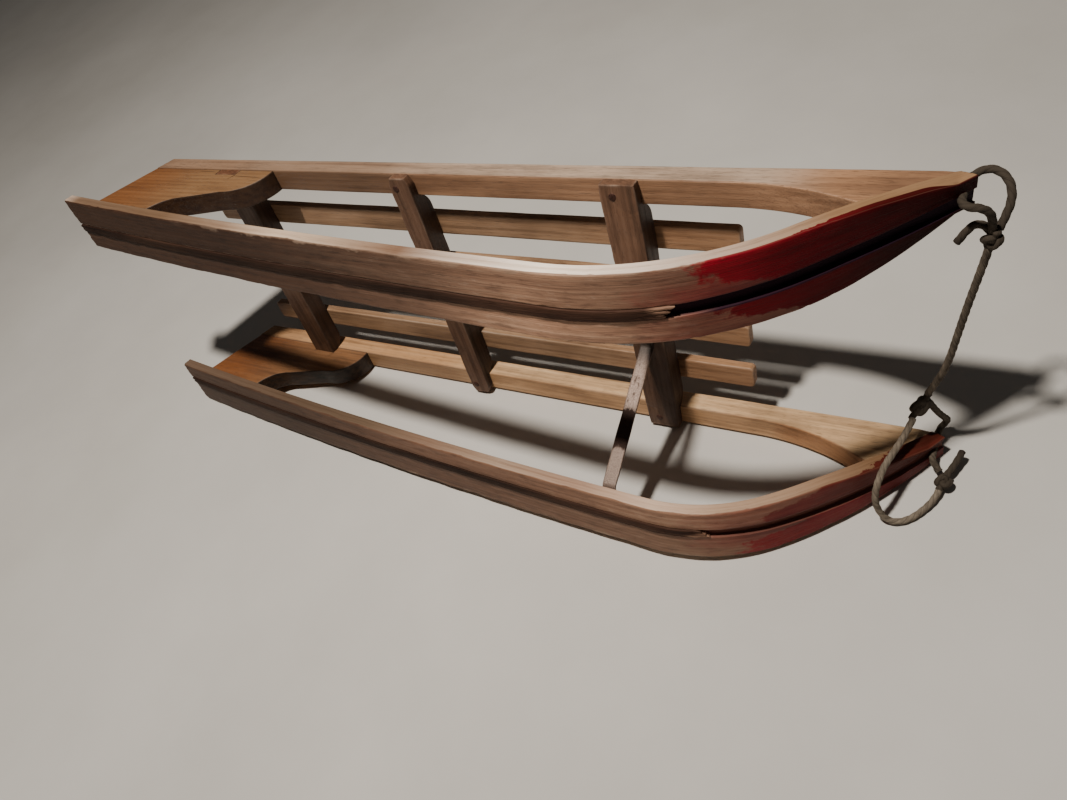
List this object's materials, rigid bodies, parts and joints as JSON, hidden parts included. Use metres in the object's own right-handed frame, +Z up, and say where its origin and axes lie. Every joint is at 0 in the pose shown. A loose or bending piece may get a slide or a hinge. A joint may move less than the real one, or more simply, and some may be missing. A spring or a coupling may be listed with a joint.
{
  "type": "wooden sled",
  "caption": "Worn wooden sled lying on its side: bent grooved soles, side planks, shouldered crossbars, seat slats, iron braces and a knotted tow rope.",
  "frame": {"origin": "on the floor that the sled lies on, under the middle of its wood and iron", "axes": "+X towards the upturned tips, +Y towards the seat side, +Z up; the sled lies on its side, leaned about X until it rests on one sole's edge and on the edge of the rail above it"},
  "size_m": [1.0631, 0.2596, 0.3663],
  "materials": {
    "rail": "worn clear varnish over pale wood",
    "block": "worn orange-brown varnish",
    "sole": "bare worn wood with remains of dark red paint towards the tip",
    "strip": "dark purple-brown, worn smooth",
    "crossbar": "worn, dusty, stained round the nails",
    "slat": "worn, dusty, rounded edges",
    "iron": "rusty wrought strap, grey-pink",
    "rope": "grey-beige braided cord with dark cut ends"
  },
  "bodies": {
    "root": {"rail_lower": "rail", "rear_block_lower": "block", "sole_lower": "sole", "wear_strip_lower": "strip", "brace_lower": "iron", "rail_upper": "rail", "rear_block_upper": "block", "sole_upper": "sole", "wear_strip_upper": "strip", "brace_upper": "iron", "crossbar_rear": "crossbar", "crossbar_middle": "crossbar", "crossbar_front": "crossbar", "slat_1": "slat", "slat_2": "slat", "slat_3": "slat", "slat_4": "slat", "rope_eye_upper": "rope", "rope_knot_upper": "rope", "rope_span": "rope", "rope_knot_lower": "rope", "rope_eye_lower": "rope", "rope_slack_loop": "rope", "rope_knot_floor": "rope"}
  },
  "joints": []
}
